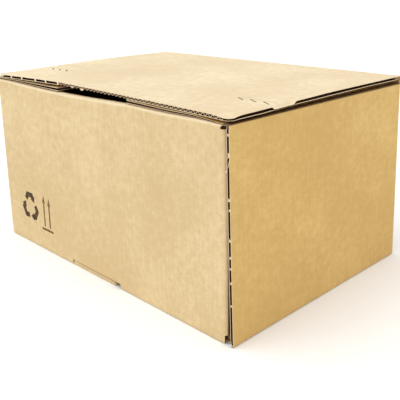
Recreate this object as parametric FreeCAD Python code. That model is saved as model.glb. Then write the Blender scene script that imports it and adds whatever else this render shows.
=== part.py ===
import FreeCAD, Part
import math
import os

# A closed shipping box of single-wall corrugated board, in millimetres.
# One die-cut sheet is folded into four walls, four bottom flaps, two dust flaps
# and a front panel that rolls over and down inside. The back wall carries the lid.
# Origin: middle of the underside. X along the printed front, Y to the back, Z up.

# Overall size, outside faces, lid closed
LENGTH = 410.0
WIDTH = 280.0
HEIGHT = 218.0

# The corrugated board
BOARD = 3.0
LINER = 0.5
MEDIUM = 0.4
FLUTE_PITCH = 6.4
CREST_WIDTH = 1.4

# Folds
FOLD_RADIUS = 3.0
INNER_FOLD_RADIUS = 0.8
CORNER_RADIUS = 4.0
SEAM_FOLD_RADIUS = 5.0
LID_FOLD_RADIUS = 2.6

# Clearances: between layers of the sheet, and between the lid and what it lies on
LAYER_GAP = 0.3
LID_GAP = 0.3

# Flaps
LEFT_DUST_FLAP = 133.0
RIGHT_DUST_FLAP = 146.0
BOTTOM_SIDE_FLAP = 135.0
BOTTOM_FLAP_CUTBACK = 16.0
BOTTOM_FLAP_RAMP = 12.0
BOTTOM_SEAM = 0.8
GLUE_FLAP = 36.0

# Open flute ends and raw edges
POCKET_DEPTH = 8.0
GROOVE_DEPTH = 2.6
GROOVE_END_MARGIN = 7.0

# Notches in the front wall's end, at the glued corner
TOP_NOTCH_WIDTH = 5.0
TOP_NOTCH_HEIGHT = 4.0
BOTTOM_NOTCH_WIDTH = 6.0
BOTTOM_NOTCH_HEIGHT = 8.0

# Lock slot in the front bottom fold, measured from the left wall, and the tab in it
SLOT_START = 148.0
SLOT_LENGTH = 93.0
SLOT_HEIGHT = 4.0
TAB_LENGTH = 80.0
TAB_HEIGHT = 3.6
TAB_CORNER_RADIUS = 2.4

# Lid: solid strip along the fold, and the finger tab pressed flat at the right edge
LID_SOLID_STRIP = 8.0
FINGER_TAB_START = 56.5
FINGER_TAB_LENGTH = 31.0
FINGER_TAB_DEPTH = 8.0
FINGER_TAB_THICKNESS = 1.0

# Lid: rows of tear cuts, measured from the front edge
TEAR_LINE = 67.5
TEAR_CUT_COUNT = 3
TEAR_CUT_SPACING = 16.0
TEAR_CUT_WIDTH = 0.8
RIGHT_TEAR_CUT_INSET = 22.0
LEFT_TEAR_CUT_INSET = 20.5
LONG_CUT_REACH = 13.0
LONG_CUT_FALL = 6.5
SHORT_CUT_REACH = 12.0
SHORT_CUT_RISE = 6.0

# Planes that several pieces share
LEFT = -LENGTH / 2
RIGHT = LENGTH / 2
FRONT = -WIDTH / 2
BACK = WIDTH / 2
LID_UNDERSIDE = HEIGHT - BOARD
FLAP_TOP = LID_UNDERSIDE - LID_GAP
FLAP_UNDERSIDE = FLAP_TOP - BOARD
FRONT_TOP = FLAP_UNDERSIDE - LAYER_GAP
RAISED_FLAP = BOARD + LAYER_GAP
PANEL_BOTTOM = RAISED_FLAP + BOARD + LAYER_GAP
WALL_INNER_FRONT = FRONT + BOARD
PANEL_OUTER = WALL_INNER_FRONT + LAYER_GAP
PANEL_INNER = PANEL_OUTER + BOARD
GLUE_OUTER = RIGHT - BOARD
GLUE_INNER = GLUE_OUTER - BOARD


def block(x0, x1, y0, y1, z0, z1):
    """A box between two corners."""
    size = (x1 - x0, y1 - y0, z1 - z0)
    return Part.makeBox(size[0], size[1], size[2], FreeCAD.Vector(x0, y0, z0))


def rounded_wire(corners):
    """A closed outline from (point, radius) corners, with a tangent arc at each radius."""
    edges = []
    starts = []
    ends = []
    arcs = []
    count = len(corners)
    for index in range(count):
        point, radius = corners[index]
        if radius <= 0:
            starts.append(point)
            ends.append(point)
            arcs.append(None)
            continue
        before = (corners[index - 1][0] - point).normalize()
        after = (corners[(index + 1) % count][0] - point).normalize()
        half_angle = before.getAngle(after) / 2
        reach = radius / math.tan(half_angle)
        inward = (before + after).normalize()
        middle = point + inward * (radius / math.sin(half_angle) - radius)
        starts.append(point + before * reach)
        ends.append(point + after * reach)
        arcs.append(Part.Arc(starts[-1], middle, ends[-1]).toShape())
    for index in range(count):
        if arcs[index]:
            edges.append(arcs[index])
        following = starts[(index + 1) % count]
        edges.append(Part.LineSegment(ends[index], following).toShape())
    return Part.Wire(edges)


def prism(corners, sweep):
    """A solid swept from an outline of (point, radius) corners."""
    return Part.Face(rounded_wire(corners)).extrude(sweep)


def along_x(outline, x0, x1):
    """A solid from (y, z, radius) corners, swept along X."""
    corners = [(FreeCAD.Vector(x0, y, z), radius) for y, z, radius in outline]
    return prism(corners, FreeCAD.Vector(x1 - x0, 0, 0))


def along_y(outline, y0, y1):
    """A solid from (x, z, radius) corners, swept along Y."""
    corners = [(FreeCAD.Vector(x, y0, z), radius) for x, z, radius in outline]
    return prism(corners, FreeCAD.Vector(0, y1 - y0, 0))


def along_z(outline, z0, z1):
    """A solid from (x, y, radius) corners, swept along Z."""
    corners = [(FreeCAD.Vector(x, y, z0), radius) for x, y, radius in outline]
    return prism(corners, FreeCAD.Vector(0, 0, z1 - z0))


def flute_openings(length, underside):
    """Outlines of the hollows beside the fluting, as (position, height) corners.

    The fluting is a flat-crested zigzag between two liners. Hollows lie above it and
    below it by turns, half a pitch apart, centred along the given length.
    """
    core_bottom = underside + LINER
    core_top = underside + BOARD - LINER
    wide = FLUTE_PITCH / 2 - CREST_WIDTH / 2
    narrow = CREST_WIDTH / 2 - MEDIUM / 2
    half_pitches = int((length - 2 * GROOVE_DEPTH - 2 * MEDIUM) / (FLUTE_PITCH / 2)) - 1
    outlines = []
    for step in range(half_pitches):
        centre = (step - (half_pitches - 1) / 2) * FLUTE_PITCH / 2
        if step % 2 == 0:
            floor, ceiling, at_floor, at_ceiling = core_bottom + MEDIUM, core_top, narrow, wide
        else:
            floor, ceiling, at_floor, at_ceiling = core_bottom, core_top - MEDIUM, wide, narrow
        outlines.append([
            (centre - at_floor, floor, 0),
            (centre + at_floor, floor, 0),
            (centre + at_ceiling, ceiling, 0),
            (centre - at_ceiling, ceiling, 0),
        ])
    return outlines


def side_strip(side, dust_flap):
    """One side wall with its dust flap and bottom flap: side is -1 for left, 1 for right."""
    def x(inset):
        return side * (LENGTH / 2 - inset)

    raised = BOTTOM_FLAP_CUTBACK + BOTTOM_FLAP_RAMP
    outline = [
        (x(dust_flap), FLAP_TOP, 0),
        (x(0), FLAP_TOP, FOLD_RADIUS),
        (x(0), 0, FOLD_RADIUS),
        (x(BOTTOM_FLAP_CUTBACK), 0, 0),
        (x(raised), RAISED_FLAP, 0),
        (x(BOTTOM_SIDE_FLAP), RAISED_FLAP, 0),
        (x(BOTTOM_SIDE_FLAP), RAISED_FLAP + BOARD, 0),
        (x(raised), RAISED_FLAP + BOARD, 0),
        (x(BOTTOM_FLAP_CUTBACK), BOARD, 0),
        (x(BOARD), BOARD, INNER_FOLD_RADIUS),
        (x(BOARD), FLAP_UNDERSIDE, INNER_FOLD_RADIUS),
        (x(dust_flap), FLAP_UNDERSIDE, 0),
    ]
    strip = along_y(outline, FRONT, BACK)
    inner, deepest = sorted((x(BOARD), x(max(dust_flap, BOTTOM_SIDE_FLAP) + BOARD)))
    behind_dust_flap = block(inner, deepest, BACK - BOARD - LAYER_GAP, BACK, PANEL_BOTTOM, HEIGHT)
    front_of_bottom_flap = block(inner, deepest, FRONT, PANEL_OUTER, 0, PANEL_BOTTOM)
    behind_bottom_flap = block(inner, deepest, BACK - BOARD - LAYER_GAP, BACK, 0, PANEL_BOTTOM)
    return strip.cut([behind_dust_flap, front_of_bottom_flap, behind_bottom_flap])


def dust_flap_flutes(side, dust_flap):
    """Open flute ends along the free edge of a dust flap."""
    edge = side * (LENGTH / 2 - dust_flap)
    flap_width = WIDTH - BOARD - LAYER_GAP
    middle = (FRONT + BACK - BOARD - LAYER_GAP) / 2
    pockets = []
    for outline in flute_openings(flap_width, FLAP_UNDERSIDE):
        placed = [(middle + y, z, radius) for y, z, radius in outline]
        pockets.append(along_x(placed, edge - side * LINER, edge + side * POCKET_DEPTH))
    return pockets


def front_strip():
    """The front wall, rolled over at the top and down inside, with its bottom flap."""
    outline = [
        (FRONT, 0, FOLD_RADIUS),
        (FRONT, FRONT_TOP, FOLD_RADIUS),
        (PANEL_INNER, FRONT_TOP, FOLD_RADIUS),
        (PANEL_INNER, PANEL_BOTTOM, 0),
        (PANEL_OUTER, PANEL_BOTTOM, 0),
        (PANEL_OUTER, FRONT_TOP - BOARD, 0),
        (WALL_INNER_FRONT, FRONT_TOP - BOARD, 0),
        (WALL_INNER_FRONT, BOARD, INNER_FOLD_RADIUS),
        (-BOTTOM_SEAM / 2, BOARD, 0),
        (-BOTTOM_SEAM / 2, 0, 0),
    ]
    strip = along_x(outline, LEFT, GLUE_OUTER)
    beside_panel = [
        block(LEFT, LEFT + BOARD + LAYER_GAP, WALL_INNER_FRONT, 0, BOARD, FRONT_TOP),
        block(GLUE_INNER - LAYER_GAP, RIGHT, WALL_INNER_FRONT, 0, BOARD, FRONT_TOP),
    ]
    return strip.cut(beside_panel + bottom_flap_ends(WALL_INNER_FRONT, 0))


def back_strip():
    """The back wall and its bottom flap. The lid's fold stands on its top edge."""
    outline = [
        (BACK, 0, FOLD_RADIUS),
        (BACK, FLAP_TOP, 0),
        (BACK - BOARD, FLAP_TOP, 0),
        (BACK - BOARD, BOARD, INNER_FOLD_RADIUS),
        (BOTTOM_SEAM / 2, BOARD, 0),
        (BOTTOM_SEAM / 2, 0, 0),
    ]
    strip = along_x(outline, LEFT, RIGHT)
    return strip.cut(bottom_flap_ends(0, BACK - BOARD))


def bottom_flap_ends(y0, y1):
    """What is cut off the ends of a front or back bottom flap, clear of the side folds."""
    cutback = BOTTOM_FLAP_CUTBACK + BOTTOM_FLAP_RAMP
    return [
        block(LEFT, LEFT + cutback, y0, y1, 0, BOARD),
        block(RIGHT - cutback, RIGHT, y0, y1, 0, BOARD),
    ]


def glued_corner():
    """The glue flap inside the right wall, and the wide fold that joins it to the front."""
    flap = block(GLUE_INNER, GLUE_OUTER, FRONT, FRONT + GLUE_FLAP, PANEL_BOTTOM, FRONT_TOP - BOARD)
    groove = block(
        GLUE_INNER + LINER, GLUE_OUTER - LINER,
        FRONT + GLUE_FLAP - GROOVE_DEPTH, FRONT + GLUE_FLAP,
        PANEL_BOTTOM, FRONT_TOP - BOARD,
    )
    return flap.cut(groove)


def seam_cutter():
    """What the wide vertical fold and its two end notches take off the front wall."""
    fold_centre = GLUE_OUTER - SEAM_FOLD_RADIUS
    corner = block(fold_centre, GLUE_OUTER, FRONT, FRONT + SEAM_FOLD_RADIUS, 0, FRONT_TOP)
    cylinder = Part.makeCylinder(
        SEAM_FOLD_RADIUS, FRONT_TOP, FreeCAD.Vector(fold_centre, FRONT + SEAM_FOLD_RADIUS, 0)
    )
    top_notch = along_y([
        (GLUE_OUTER - TOP_NOTCH_WIDTH, FRONT_TOP, 0),
        (GLUE_OUTER, FRONT_TOP, 0),
        (GLUE_OUTER, FRONT_TOP - TOP_NOTCH_HEIGHT, 0),
    ], FRONT, PANEL_INNER)
    bottom_notch = along_y([
        (GLUE_OUTER - BOTTOM_NOTCH_WIDTH, 0, 0),
        (GLUE_OUTER, 0, 0),
        (GLUE_OUTER, BOTTOM_NOTCH_HEIGHT, 0),
    ], FRONT, PANEL_INNER)
    return [corner.cut(cylinder), top_notch, bottom_notch]


def lock_tab():
    """The tab of the inner front panel, kicked out through the slot in the bottom fold."""
    start = LEFT + SLOT_START + LAYER_GAP
    end = start + TAB_LENGTH
    stem = block(start, end, PANEL_OUTER, PANEL_INNER, LAYER_GAP, PANEL_BOTTOM + BOARD)
    toe = along_y([
        (start, LAYER_GAP, 0),
        (end, LAYER_GAP, 0),
        (end, TAB_HEIGHT, TAB_CORNER_RADIUS),
        (start, TAB_HEIGHT, 0),
    ], FRONT + LAYER_GAP, PANEL_INNER)
    return stem.fuse(toe)


def lock_slot():
    """The opening cut across the front bottom fold."""
    start = LEFT + SLOT_START
    return block(
        start, start + SLOT_LENGTH,
        FRONT, PANEL_INNER + LAYER_GAP, 0, SLOT_HEIGHT,
    )


def raw_edge_grooves():
    """The hollow between the liners where the sheet is cut along its flutes."""
    wall = block(
        RIGHT - BOARD + LINER, RIGHT - LINER,
        FRONT, FRONT + GROOVE_DEPTH,
        GROOVE_END_MARGIN, FLAP_UNDERSIDE - GROOVE_END_MARGIN,
    )
    grooves = [wall]
    flap_back = BACK - BOARD - LAYER_GAP
    for start, end in (
        (LEFT + GROOVE_END_MARGIN, LEFT + LEFT_DUST_FLAP),
        (RIGHT - RIGHT_DUST_FLAP, RIGHT - GROOVE_END_MARGIN),
    ):
        for y0 in (FRONT, flap_back - GROOVE_DEPTH):
            grooves.append(block(
                start, end, y0, y0 + GROOVE_DEPTH,
                FLAP_UNDERSIDE + LINER, FLAP_TOP - LINER,
            ))
    return grooves


def box_body():
    """The whole folded sheet apart from the lid, as one solid."""
    corners = [
        (LEFT, FRONT, CORNER_RADIUS),
        (RIGHT, FRONT, 0),
        (RIGHT, BACK, CORNER_RADIUS),
        (LEFT, BACK, CORNER_RADIUS),
    ]
    front = front_strip().fuse(glued_corner()).cut(seam_cutter() + [lock_slot()]).fuse(lock_tab())
    body = front.fuse([
        back_strip(),
        side_strip(-1, LEFT_DUST_FLAP),
        side_strip(1, RIGHT_DUST_FLAP),
    ])
    body = body.common(along_z(corners, 0, HEIGHT))
    hollows = raw_edge_grooves()
    hollows += dust_flap_flutes(-1, LEFT_DUST_FLAP)
    hollows += dust_flap_flutes(1, RIGHT_DUST_FLAP)
    return body.cut(hollows).removeSplitter()


def stroke(x0, y0, x1, y1):
    """A knife cut through the lid from one point to another."""
    direction = FreeCAD.Vector(x1 - x0, y1 - y0, 0).normalize()
    across = FreeCAD.Vector(-direction.y, direction.x, 0) * (TEAR_CUT_WIDTH / 2)
    corners = [
        (x0 + across.x, y0 + across.y, 0),
        (x1 + across.x, y1 + across.y, 0),
        (x1 - across.x, y1 - across.y, 0),
        (x0 - across.x, y0 - across.y, 0),
    ]
    return along_z(corners, LID_UNDERSIDE, HEIGHT)


def tear_cuts():
    """Arrow-shaped cuts, their points to the left, in a row near each end of the lid."""
    cuts = []
    y = FRONT + TEAR_LINE
    first_points = (LEFT + LEFT_TEAR_CUT_INSET, RIGHT - RIGHT_TEAR_CUT_INSET)
    for row, first in enumerate(first_points):
        direction = 1 if row == 0 else -1
        for index in range(TEAR_CUT_COUNT):
            x = first + direction * index * TEAR_CUT_SPACING
            cuts.append(stroke(x, y, x + LONG_CUT_REACH, y - LONG_CUT_FALL))
            cuts.append(stroke(x, y, x + SHORT_CUT_REACH, y + SHORT_CUT_RISE))
    return cuts


def finger_tab():
    """The stretch of the right edge that is pressed flat: the board there, and what is gone."""
    y0 = FRONT + FINGER_TAB_START
    y1 = y0 + FINGER_TAB_LENGTH
    inner = RIGHT - FINGER_TAB_DEPTH
    pressed = block(inner, RIGHT, y0, y1, LID_UNDERSIDE, HEIGHT)
    gone = along_y([
        (inner, HEIGHT, 0),
        (RIGHT, HEIGHT, 0),
        (RIGHT, LID_UNDERSIDE + FINGER_TAB_THICKNESS, 0),
    ], y0, y1)
    return pressed, gone


def lid():
    """The full lid panel, with its fold along the back and its flutes running to the front."""
    outline = [
        (FRONT, LID_UNDERSIDE, 0),
        (BACK, LID_UNDERSIDE, 0),
        (BACK, HEIGHT, LID_FOLD_RADIUS),
        (FRONT, HEIGHT, 0),
    ]
    panel = along_x(outline, LEFT, RIGHT)
    hollow_end = BACK - LID_SOLID_STRIP
    hollows = [
        along_y(flute, FRONT, hollow_end)
        for flute in flute_openings(LENGTH, LID_UNDERSIDE)
    ]
    for x0 in (LEFT, RIGHT - GROOVE_DEPTH):
        hollows.append(block(
            x0, x0 + GROOVE_DEPTH, FRONT, hollow_end,
            LID_UNDERSIDE + LINER, HEIGHT - LINER,
        ))
    pressed, gone = finger_tab()
    panel = panel.cut(hollows).fuse(pressed).cut([gone] + tear_cuts())
    return panel.removeSplitter()


def export(name, shape):
    """Check one solid and write it."""
    solid = shape.Solids[0]
    box = solid.BoundBox
    print(name, "solids", len(shape.Solids), "valid", solid.isValid(), "volume", round(solid.Volume))
    print("  from", round(box.XMin, 2), round(box.YMin, 2), round(box.ZMin, 2), end=" ")
    print("to", round(box.XMax, 2), round(box.YMax, 2), round(box.ZMax, 2))
    shape.exportStep(os.path.join("parts", name + ".step"))


os.makedirs("parts", exist_ok=True)
export("box_body", box_body())
export("lid", lid())
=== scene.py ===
import math

import bpy
import numpy as np
from mathutils import Matrix, Vector
from mathutils.geometry import tessellate_polygon


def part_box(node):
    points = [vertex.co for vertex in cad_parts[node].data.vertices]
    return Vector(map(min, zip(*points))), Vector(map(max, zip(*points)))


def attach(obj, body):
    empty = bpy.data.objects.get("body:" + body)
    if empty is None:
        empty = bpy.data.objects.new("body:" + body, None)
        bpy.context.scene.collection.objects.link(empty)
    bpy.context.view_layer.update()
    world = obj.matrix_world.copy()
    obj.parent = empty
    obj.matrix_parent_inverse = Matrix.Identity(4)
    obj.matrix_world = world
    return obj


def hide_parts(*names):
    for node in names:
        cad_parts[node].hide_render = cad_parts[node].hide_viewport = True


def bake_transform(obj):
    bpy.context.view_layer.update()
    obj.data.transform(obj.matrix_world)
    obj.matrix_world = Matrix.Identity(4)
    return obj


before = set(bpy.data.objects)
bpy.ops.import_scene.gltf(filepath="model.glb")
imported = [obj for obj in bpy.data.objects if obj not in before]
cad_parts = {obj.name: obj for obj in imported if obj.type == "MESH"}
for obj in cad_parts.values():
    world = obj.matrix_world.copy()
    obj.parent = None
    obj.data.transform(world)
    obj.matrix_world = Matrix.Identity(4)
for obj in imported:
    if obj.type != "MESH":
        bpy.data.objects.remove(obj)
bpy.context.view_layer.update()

# The folded sheet.
# The whole box is one die-cut sheet of single-wall corrugated board, creased and folded: two
# kraft liners glued to a wavy fluting medium. A flap of the front wall is glued to the right wall.
MM = 0.001
body_low, body_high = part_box("box_body")
lid_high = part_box("lid")[1]
LEFT = body_low[0] / MM
RIGHT = body_high[0] / MM
FRONT = body_low[1] / MM
BACK = body_high[1] / MM
TOP = lid_high[2] / MM

BOARD = 3.8
FACE = 0.1
LINER = 0.5
MEDIUM = 0.42
FLUTE_PITCH = 6.4
RIPPLE = 0.035
FLUTE_RISE = BOARD / 2 - FACE - RIPPLE - LINER - MEDIUM / 2

FOLD_RADIUS = 3.0
CORNER_RADIUS = 4.0
SEAM_FOLD_RADIUS = 5.0
LID_FOLD_RADIUS = 2.6
CREASE_SQUEEZE = 0.42
CREASE_REACH = 5.0

LID_GAP = 0.5
ROLL_GAP = 1.4
LAYER_GAP = 0.3
FLAP_TOP = TOP - BOARD - LID_GAP
RIGHT_FOLD_DROP = 4.6
RIGHT_FOLD_RADIUS = 1.7
RIGHT_FOLD_SHELF = 12.0
RIGHT_FLAP_RAMP = 44.0
RIGHT_SHELF_BEND = 10.0
RIGHT_RAMP_BEND = 30.0
FRONT_TOP = FLAP_TOP - BOARD - ROLL_GAP
ROLL_DEPTH = 2 * BOARD + LAYER_GAP
RAISED_FLAP = BOARD + LAYER_GAP
PANEL_BOTTOM = RAISED_FLAP + BOARD + LAYER_GAP
GLUE_FACE = RIGHT - BOARD
GLUE_FLAP = 36.0
LEFT_DUST_FLAP = 143.0
RIGHT_DUST_FLAP = 140.0
BOTTOM_SIDE_FLAP = 135.0
BOTTOM_FLAP_CUTBACK = 16.0
BOTTOM_FLAP_RAMP = 12.0
BOTTOM_FLAP_BEND = 6.0
BOTTOM_SEAM = 0.8

SLOT_START = LEFT + 148.0
SLOT_LENGTH = 93.0
SLOT_HEIGHT = 6.6
SLOT_REACH = 7.0


class Course:
    """A line of straight runs joined by tangent arcs, followed by distance.

    It faces to the right of the way it runs.
    """

    def __init__(self, corners):
        self.runs = []
        self.arcs = []
        points = [np.array(corner[:2], float) for corner in corners]
        at = points[0]
        distance = 0.0
        for index in range(1, len(points)):
            ahead = points[index] - points[index - 1]
            ahead = ahead / np.linalg.norm(ahead)
            radius = corners[index][2] if index < len(points) - 1 else 0.0
            reach = 0.0
            if radius > 0:
                after = points[index + 1] - points[index]
                after = after / np.linalg.norm(after)
                turn = math.atan2(ahead[0] * after[1] - ahead[1] * after[0], float(ahead @ after))
                reach = radius * math.tan(abs(turn) / 2)
            end = points[index] - ahead * reach
            length = float(np.linalg.norm(end - at))
            self.runs.append((distance, length, at, ahead, 0.0))
            distance += length
            at = end
            if radius > 0:
                length = radius * abs(turn)
                self.runs.append((distance, length, at, ahead, math.copysign(1 / radius, turn)))
                self.arcs.append((distance, distance + length))
                distance += length
                at = points[index] + after * reach
        self.length = distance
        self.offset = 0.0

    def measured_from(self, distance, value):
        """Number the course so that this distance along it reads this value."""
        self.offset = value - distance
        self.arcs = [(start + self.offset, end + self.offset) for start, end in self.arcs]
        return self

    def start(self):
        return self.offset

    def end(self):
        return self.offset + self.length

    def at(self, place):
        """Position and facing at a place along the course."""
        distance = np.asarray(place, float) - self.offset
        x = np.zeros_like(distance)
        y = np.zeros_like(distance)
        across = np.zeros_like(distance)
        up = np.zeros_like(distance)
        for index, (begin, length, origin, ahead, bend) in enumerate(self.runs):
            last = index == len(self.runs) - 1
            first = index == 0
            here = (first | (distance >= begin)) & (last | (distance < begin + length))
            along = distance - begin
            angle = math.atan2(ahead[1], ahead[0])
            if bend:
                turned = angle + along * bend
                x_here = origin[0] + (np.sin(turned) - math.sin(angle)) / bend
                y_here = origin[1] - (np.cos(turned) - math.cos(angle)) / bend
            else:
                turned = angle + 0 * along
                x_here = origin[0] + along * ahead[0]
                y_here = origin[1] + along * ahead[1]
            x = np.where(here, x_here, x)
            y = np.where(here, y_here, y)
            across = np.where(here, np.sin(turned), across)
            up = np.where(here, -np.cos(turned), up)
        return x, y, across, up

    def squeeze(self, place):
        """How much of its thickness the board keeps at a place: less at a crease."""
        kept = np.ones_like(np.asarray(place, float))
        for begin, finish in self.arcs:
            half = (finish - begin) / 2
            away = np.abs(place - (begin + finish) / 2) / (half + CREASE_REACH)
            kept -= CREASE_SQUEEZE * np.clip(1 - away**2, 0, 1) ** 2
        return kept


ring = Course([
    (RIGHT, FRONT, 0),
    (RIGHT, BACK, CORNER_RADIUS),
    (LEFT, BACK, CORNER_RADIUS),
    (LEFT, FRONT, CORNER_RADIUS),
    (GLUE_FACE, FRONT, SEAM_FOLD_RADIUS),
    (GLUE_FACE, FRONT + GLUE_FLAP, 0),
])
RIGHT_WALL = (0.0, ring.arcs[0][0])
BACK_WALL = (ring.arcs[0][1], ring.arcs[1][0])
LEFT_WALL = (ring.arcs[1][1], ring.arcs[2][0])
FRONT_WALL = (ring.arcs[2][1], ring.arcs[3][0])


def front_place(x):
    """Where an X position on the front wall lies round the ring."""
    return FRONT_WALL[0] + x - (LEFT + CORNER_RADIUS)


def profile(corners):
    """A section through one wall and its flaps, numbered by height on the wall."""
    course = Course(corners)
    return course.measured_from(course.arcs[0][1], FOLD_RADIUS)


front_section = profile([
    (FRONT + BOTTOM_SEAM / 2, 0, 0),
    (0, 0, FOLD_RADIUS),
    (0, FRONT_TOP, FOLD_RADIUS),
    (-ROLL_DEPTH, FRONT_TOP, FOLD_RADIUS),
    (-ROLL_DEPTH, PANEL_BOTTOM, 0),
])
back_section = profile([
    (FRONT + BOTTOM_SEAM / 2, 0, 0),
    (0, 0, FOLD_RADIUS),
    (0, TOP, LID_FOLD_RADIUS),
    (FRONT - BACK, TOP, 0),
])


def side_section(dust_flap, flap_corners):
    """Left or right wall: the bottom flap steps up over the front and back ones."""
    course = Course([
        (-BOTTOM_SIDE_FLAP, RAISED_FLAP, 0),
        (-BOTTOM_FLAP_CUTBACK - BOTTOM_FLAP_RAMP, RAISED_FLAP, BOTTOM_FLAP_BEND),
        (-BOTTOM_FLAP_CUTBACK, 0, BOTTOM_FLAP_BEND),
        (0, 0, FOLD_RADIUS),
        *flap_corners,
        (-dust_flap, FLAP_TOP, 0),
    ])
    return course.measured_from(course.arcs[2][1], FOLD_RADIUS)


left_section = side_section(LEFT_DUST_FLAP, [(0, FLAP_TOP, FOLD_RADIUS)])
right_section = side_section(RIGHT_DUST_FLAP, [
    (0, FLAP_TOP - RIGHT_FOLD_DROP, RIGHT_FOLD_RADIUS),
    (-RIGHT_FOLD_SHELF, FLAP_TOP - RIGHT_FOLD_DROP, RIGHT_SHELF_BEND),
    (-RIGHT_FLAP_RAMP, FLAP_TOP, RIGHT_RAMP_BEND),
])

BOW_DEPTH = 0.9
SEAM_OPENING = 1.0
SEAM_GAP = 2.0
SEAM_TUCK = 3.2
SEAM_OPEN_BELOW = 150.0
SEAM_OPEN_POWER = 1.4
SEAM_OPEN_REACH = 60.0
SEAM_GAP_REACH = 50.0
PEAK = -50.0
LEFT_SAG = 4.2
RIGHT_SAG = 3.5
BACK_SAG = 1.1
SAG_POWER = 1.3
SAG_DEPTH = 170.0
SAG_STARTS = 206.5
DIPS = ((-62.0, 135.0, 2.6), (118.0, 45.0, 0.8))
DIP_POWER = 1.5
DIP_STARTS = 185.0
DIP_EASE = 20.0


def smooth(value):
    """An even ease from 0 to 1."""
    share = np.clip(value, 0, 1)
    return share * share * (3 - 2 * share)


def settle(x, y, z):
    """How the real box sits out of square: the lid bows up between two sunken front corners."""
    to_left = np.clip((PEAK - x) / (PEAK - LEFT), 0, 1)
    to_right = np.clip((x - PEAK) / (RIGHT - PEAK), 0, 1)
    front_sag = LEFT_SAG * to_left**SAG_POWER + RIGHT_SAG * to_right**SAG_POWER
    front_share = smooth(1 - (y - FRONT) / SAG_DEPTH)
    sag = BACK_SAG + (front_sag - BACK_SAG) * front_share
    return x, y, z - sag * smooth((z - SAG_STARTS) / (FLAP_TOP - SAG_STARTS))


def dip(x, y, z):
    """How far the front wall's top and the flaps on it are pressed down."""
    pressed = np.zeros_like(x)
    for middle, reach, depth in DIPS:
        pressed += depth * np.clip(1 - ((x - middle) / reach) ** 2, 0, 1) ** DIP_POWER
    return pressed * smooth(1 - (y - FRONT) / SAG_DEPTH) * smooth((z - DIP_STARTS) / DIP_EASE)


def fold(u, v, depth, section, course=ring):
    """A point of the sheet: distance round the box, height on the wall, depth in the board."""
    x, y, nx, ny = course.at(u)
    a, b, na, nb = section.at(v)
    kept = course.squeeze(u) * section.squeeze(v)
    on_wall = np.clip(v / FLAP_TOP, 0, 1)
    bow = np.zeros_like(x)
    if course is ring:
        for begin, finish in (RIGHT_WALL, BACK_WALL, LEFT_WALL, FRONT_WALL):
            along = np.clip((u - begin) / (finish - begin), 0, 1)
            bow += BOW_DEPTH * np.sin(math.pi * along) * np.sin(math.pi * on_wall)
    out = a - na * depth * kept - bow
    x = x + nx * out
    y = y + ny * out
    z = b - nb * depth * kept
    if course is ring:
        open_here = np.clip(1 - z / SEAM_OPEN_BELOW, 0, 1) ** SEAM_OPEN_POWER
        y = y + SEAM_OPENING * open_here * smooth(1 - u / SEAM_OPEN_REACH)
        near_seam = smooth((u - FRONT_WALL[1] + SEAM_GAP_REACH) / SEAM_GAP_REACH)
        x = x - (SEAM_GAP + SEAM_TUCK * open_here) * near_seam
    return settle(x, y, z - dip(x, y, z))


CLOSE_SHARE = 0.2
SAME_PLACE = 0.01


def places(begin, finish, step, marks=()):
    """Even steps between two places, with the given marks always among them."""
    count = max(1, round((finish - begin) / step))
    stops = [begin + (finish - begin) * index / count for index in range(count + 1)]
    stops += [mark for mark in marks if begin < mark < finish]
    stops = sorted(stops)
    kept = [stops[0]]
    fixed = set(marks) | {begin, finish}
    for stop in stops[1:]:
        gap = stop - kept[-1]
        if gap > step * CLOSE_SHARE or (gap > SAME_PLACE and {stop, kept[-1]} <= fixed):
            kept.append(stop)
        elif stop in fixed:
            kept[-1] = stop
    return np.array(kept)


def patch(u, v, outer, inner, place, keep=None):
    """A stretch of one paper layer, with both faces and its cut edges.

    Rows u and v are the places it has points at, and keep says which cells are there.
    """
    along, high = np.meshgrid(u, v, indexing="ij")
    count = along.size
    sides = []
    for depth in (outer, inner):
        x, y, z = place(along, high, depth(along, high))
        sides.append(np.stack([x, y, z], -1).reshape(-1, 3))
    points = np.concatenate(sides)
    flat = np.stack([along, high], -1).reshape(-1, 2)
    flat = np.concatenate([flat, flat])
    index = np.arange(count).reshape(along.shape)
    cells = np.ones((len(u) - 1, len(v) - 1), bool)
    if keep is not None:
        cells = keep((along[1:, 1:] + along[:-1, :-1]) / 2, (high[1:, 1:] + high[:-1, :-1]) / 2)
    i, j = np.nonzero(cells)
    face = [np.stack([index[i, j], index[i + 1, j], index[i + 1, j + 1], index[i, j + 1]], -1)]
    face.append(face[0][:, ::-1] + count)
    ringed = np.zeros((len(u) + 1, len(v) + 1), bool)
    ringed[1:-1, 1:-1] = cells
    edge = []
    for di, dj, first, second in (
        (1, 0, (1, 0), (1, 1)),
        (-1, 0, (0, 1), (0, 0)),
        (0, 1, (1, 1), (0, 1)),
        (0, -1, (0, 0), (1, 0)),
    ):
        bare = ~ringed[i + 1 + di, j + 1 + dj]
        a = index[i[bare] + first[0], j[bare] + first[1]]
        b = index[i[bare] + second[0], j[bare] + second[1]]
        edge.append(np.stack([b, a, a + count, b + count], -1))
    faces = np.concatenate(face + edge)
    kinds = np.zeros(len(faces), int)
    kinds[len(face[0]):2 * len(face[0])] = 1
    kinds[2 * len(face[0]):] = 2
    return points, flat, faces, kinds


SHARP_ANGLE = math.radians(38)


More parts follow.
